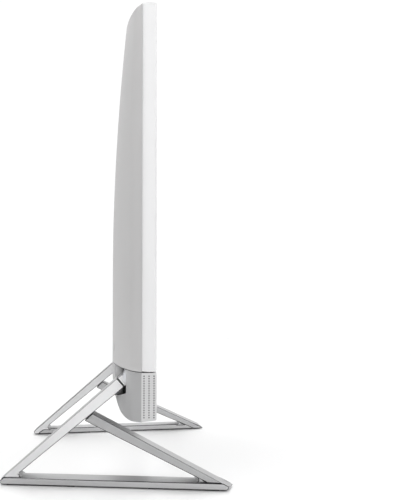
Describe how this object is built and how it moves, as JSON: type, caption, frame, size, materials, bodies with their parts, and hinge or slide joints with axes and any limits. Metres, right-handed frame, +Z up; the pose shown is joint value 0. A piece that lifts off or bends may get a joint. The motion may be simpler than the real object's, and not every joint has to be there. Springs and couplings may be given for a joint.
{
  "type": "all-in-one computer",
  "caption": "Slim all-in-one desktop computer: a tilting display head with a perforated grey chin on two splayed triangular metal legs.",
  "frame": {"origin": "on the desk, midway across the head and midway between the legs' front tips and back corners", "axes": "+X along the head's width, -Y the way the screen faces, +Z up"},
  "size_m": [0.5404, 0.2037, 0.4107],
  "materials": {
    "leg_metal": "satin anodised",
    "foot_rubber": "matt",
    "steel": "machined",
    "zinc_sheet": "zinc plated",
    "white_plastic": "fine matt",
    "grey_plastic": "satin silver grey",
    "black_plastic": "fine matt",
    "screen_glass": "semi-gloss, switched off",
    "clear_acrylic": "clear",
    "led_phosphor": "yellow phosphor",
    "circuit_board": "solder mask",
    "brass": "brass coloured, turned",
    "processor_lid": "nickel plated",
    "copper": "copper coloured, bright",
    "drive_metal": "cast and brushed",
    "cable_sleeve": "smooth"
  },
  "bodies": {
    "stand": {"left_leg": "leg_metal", "right_leg": "leg_metal", "foot_pads": "foot_rubber", "left_hinge_arm": "leg_metal", "right_hinge_arm": "leg_metal", "hinge_shaft": "steel", "shaft_collars": "steel", "leg_screws": "steel"},
    "head": {"rim_frame": "white_plastic", "screen_bezel": "black_plastic", "lcd_panel": "screen_glass", "light_guide": "clear_acrylic", "led_strip": "led_phosphor", "panel_tray": "zinc_sheet", "panel_control_board": "circuit_board", "chassis_plate": "zinc_sheet", "back_cover": "white_plastic", "speaker_grille": "grey_plastic", "chin_cover": "grey_plastic", "left_hinge_block": "steel", "right_hinge_block": "steel", "left_speaker": "black_plastic", "right_speaker": "black_plastic", "system_board": "circuit_board", "board_standoffs": "brass", "board_screws": "steel", "processor": "processor_lid", "cold_plate": "copper", "heat_pipe": "copper", "heat_sink_fins": "copper", "fan_housing": "black_plastic", "fan_cover": "zinc_sheet", "memory_sockets": "black_plastic", "memory_modules": "circuit_board", "solid_state_drive": "circuit_board", "wireless_card": "circuit_board", "coin_cell_holder": "black_plastic", "coin_cell": "zinc_sheet", "hard_drive": "drive_metal", "hard_drive_bracket": "zinc_sheet", "antennas": "brass", "io_plate": "black_plastic", "usb_ports": "zinc_sheet", "network_port": "zinc_sheet", "video_port": "zinc_sheet", "power_inlet": "black_plastic", "audio_jack": "black_plastic", "webcam_module": "circuit_board", "power_switch_board": "circuit_board", "display_cable": "cable_sleeve", "webcam_cable": "cable_sleeve", "speaker_cables": "cable_sleeve", "antenna_leads": "cable_sleeve", "drive_cable": "cable_sleeve", "cover_screws": "steel"},
    "fan": {"fan_impeller": "black_plastic"},
    "shutter": {"privacy_shutter": "black_plastic"},
    "button": {"power_button": "white_plastic"}
  },
  "joints": [
    {"name": "tilt", "type": "hinge", "parent": "stand", "child": "head", "pos_m": [0, -0.013, 0.0955], "axis": [-1, 0, 0], "range_deg": [-5, 25]},
    {"name": "fan_spin", "type": "hinge", "parent": "head", "child": "fan", "pos_m": [0.15, -0.014, 0.243], "axis": [0, 1, 0], "continuous": true},
    {"name": "shutter_slide", "type": "slide", "parent": "head", "child": "shutter", "axis": [-1, 0, 0], "range_m": [0, 0.009]},
    {"name": "power_press", "type": "slide", "parent": "head", "child": "button", "axis": [0, 0, 1], "range_m": [0, 0.0008], "stiffness_N_per_m": 600, "springref_m": -0.0008}
  ]
}
